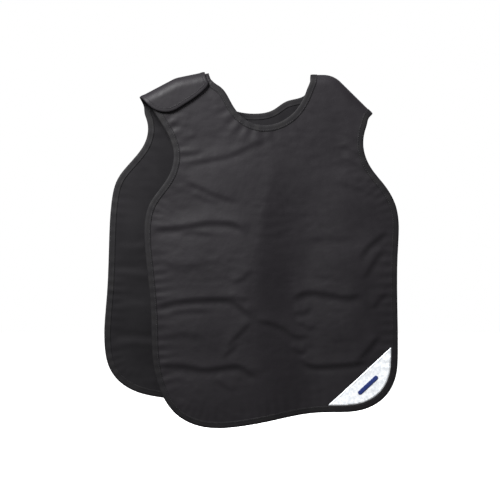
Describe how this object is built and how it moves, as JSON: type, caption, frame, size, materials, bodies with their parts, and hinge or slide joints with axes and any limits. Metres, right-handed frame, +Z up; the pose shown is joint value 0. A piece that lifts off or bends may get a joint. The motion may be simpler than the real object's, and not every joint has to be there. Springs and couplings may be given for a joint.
{
  "type": "lead apron",
  "caption": "Poncho-style lead apron: front and back panels joined over the shoulders, bound edges, and one shoulder closed by a hook-and-loop flap.",
  "frame": {"origin": "midway along the shoulder rest, level with the shoulders, between the front and back panels", "axes": "+Z up along the hanging panels, -Y is the way the front panel faces, +X is to the right seen from the front"},
  "size_m": [0.5933, 0.0481, 0.7142],
  "materials": {
    "nylon_cover": "smooth coated nylon with a faint sheen",
    "lining": "matt woven nylon",
    "lead_vinyl": "lead-loaded vinyl, matt",
    "binding": "folded polyester tape",
    "thread": "polyester thread",
    "label": "woven label, satin",
    "emblem": "printed bar",
    "label_thread": "polyester thread",
    "loop_tape": "napped loop tape",
    "hook_tape": "moulded hooks"
  },
  "bodies": {
    "front_panel": {"front_cover": "nylon_cover", "front_shield_outer": "lead_vinyl", "front_shield_inner": "lead_vinyl", "front_lining": "lining", "front_side_binding": "binding", "front_neck_binding": "binding", "front_binding_thread": "thread", "corner_label": "label", "label_emblem": "emblem", "label_thread": "label_thread", "loop_strip": "loop_tape", "right_shoulder_cover": "nylon_cover", "right_shoulder_shield": "lead_vinyl", "right_shoulder_lining": "lining", "right_shoulder_neck_binding": "binding", "right_shoulder_arm_binding": "binding", "left_shoulder_cover": "nylon_cover", "left_shoulder_shield": "lead_vinyl", "left_shoulder_lining": "lining", "left_shoulder_neck_binding": "binding", "left_shoulder_arm_binding": "binding", "front_strap_end_cover": "nylon_cover", "front_strap_end_shield": "lead_vinyl", "front_strap_end_lining": "lining"},
    "back_panel": {"back_cover": "nylon_cover", "back_shield_outer": "lead_vinyl", "back_shield_inner": "lead_vinyl", "back_lining": "lining", "back_side_binding": "binding", "back_neck_binding": "binding", "back_binding_thread": "thread"},
    "shoulder_flap": {"flap_cover": "nylon_cover", "flap_shield": "lead_vinyl", "flap_lining": "lining", "flap_thread": "thread", "hook_strip": "hook_tape"}
  },
  "joints": [
    {"name": "back_swing", "type": "hinge", "parent": "front_panel", "child": "back_panel", "pos_m": [0.02, 0.021, -0.045], "axis": [1, 0, 0], "range_deg": [0, 120]},
    {"name": "flap_fold", "type": "hinge", "parent": "front_panel", "child": "shoulder_flap", "pos_m": [-0.15036, -0.0039, -0.00307], "axis": [-0.9333, 0, -0.359], "range_deg": [0, 150]}
  ]
}
